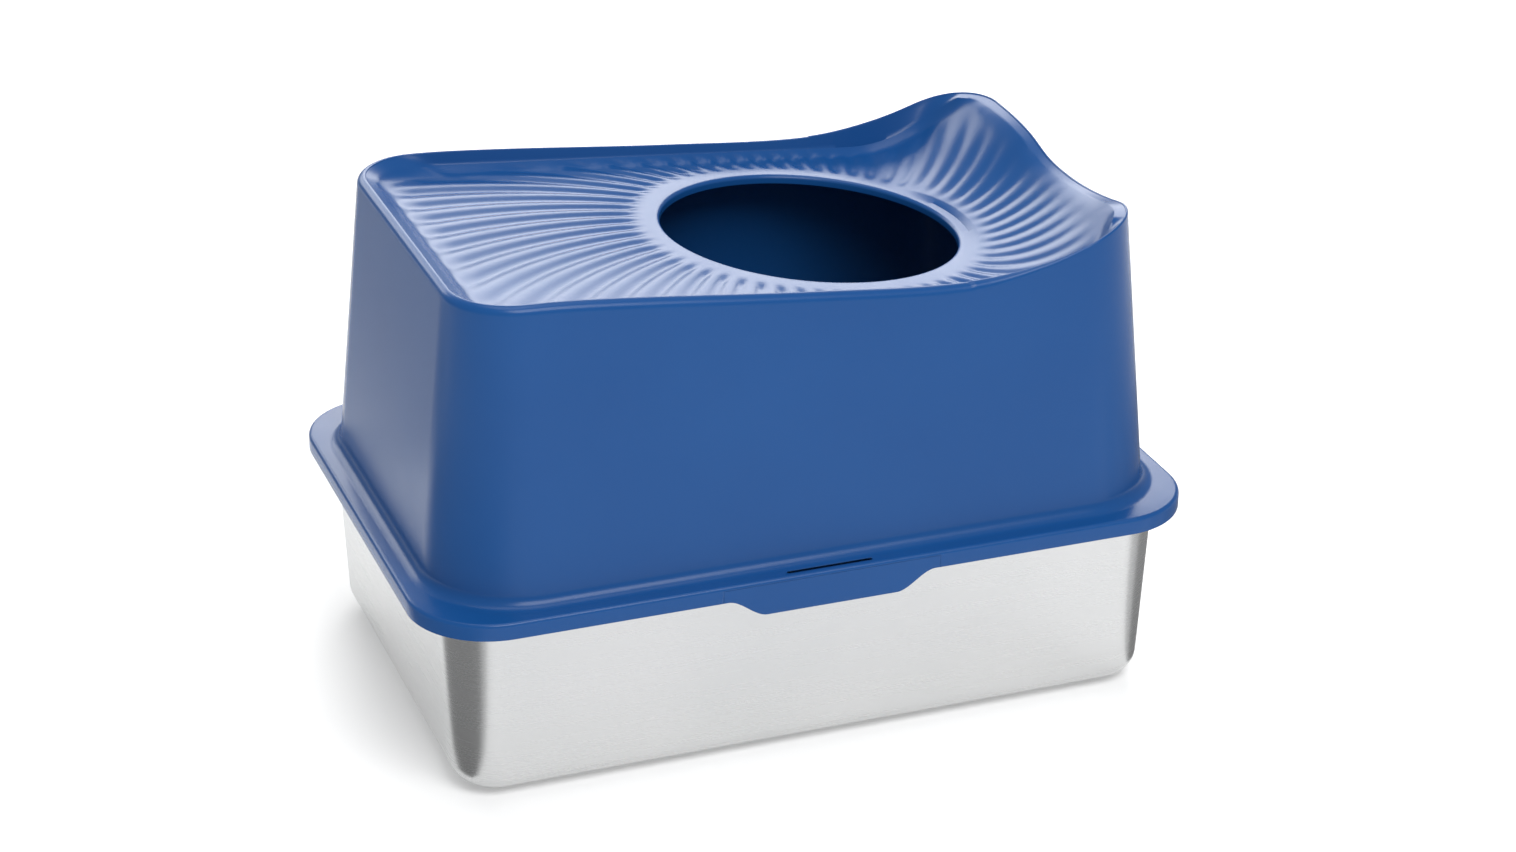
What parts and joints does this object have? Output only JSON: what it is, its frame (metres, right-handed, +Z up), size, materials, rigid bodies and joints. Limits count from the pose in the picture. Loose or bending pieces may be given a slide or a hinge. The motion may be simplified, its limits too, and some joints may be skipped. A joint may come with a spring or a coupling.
{
  "type": "cat litter box with hood",
  "caption": "Rectangular steel litter pan under a lift-off moulded hood with a dished, ribbed top and a round top-entry hole, held by snap catches.",
  "frame": {"origin": "on the floor under the middle of the box", "axes": "+X along the length towards the raised corners of the hood, -Y towards the front, +Z up"},
  "size_m": [0.6, 0.4, 0.3775],
  "materials": {
    "pan_steel": "satin drawn stainless steel",
    "hood_plastic": "smooth moulded plastic with a soft gloss",
    "foot_rubber": "matt"
  },
  "bodies": {
    "pan": {"steel_pan": "pan_steel", "foot_front_left": "foot_rubber", "foot_front_right": "foot_rubber", "foot_rear_left": "foot_rubber", "foot_rear_right": "foot_rubber"},
    "hood": {"hood": "hood_plastic"},
    "front_catch": {"front_catch": "hood_plastic"},
    "rear_catch": {"rear_catch": "hood_plastic"}
  },
  "joints": [
    {"name": "hood_lift", "type": "slide", "parent": "pan", "child": "hood", "axis": [0, 0, 1], "range_m": [0, 0.25]},
    {"name": "front_catch_flex", "type": "hinge", "parent": "hood", "child": "front_catch", "pos_m": [0, -0.199, 0.154], "axis": [-1, 0, 0], "range_deg": [0, 8], "stiffness_Nm_per_rad": 1.5},
    {"name": "rear_catch_flex", "type": "hinge", "parent": "hood", "child": "rear_catch", "pos_m": [0, 0.199, 0.154], "axis": [1, 0, 0], "range_deg": [0, 8], "stiffness_Nm_per_rad": 1.5}
  ]
}
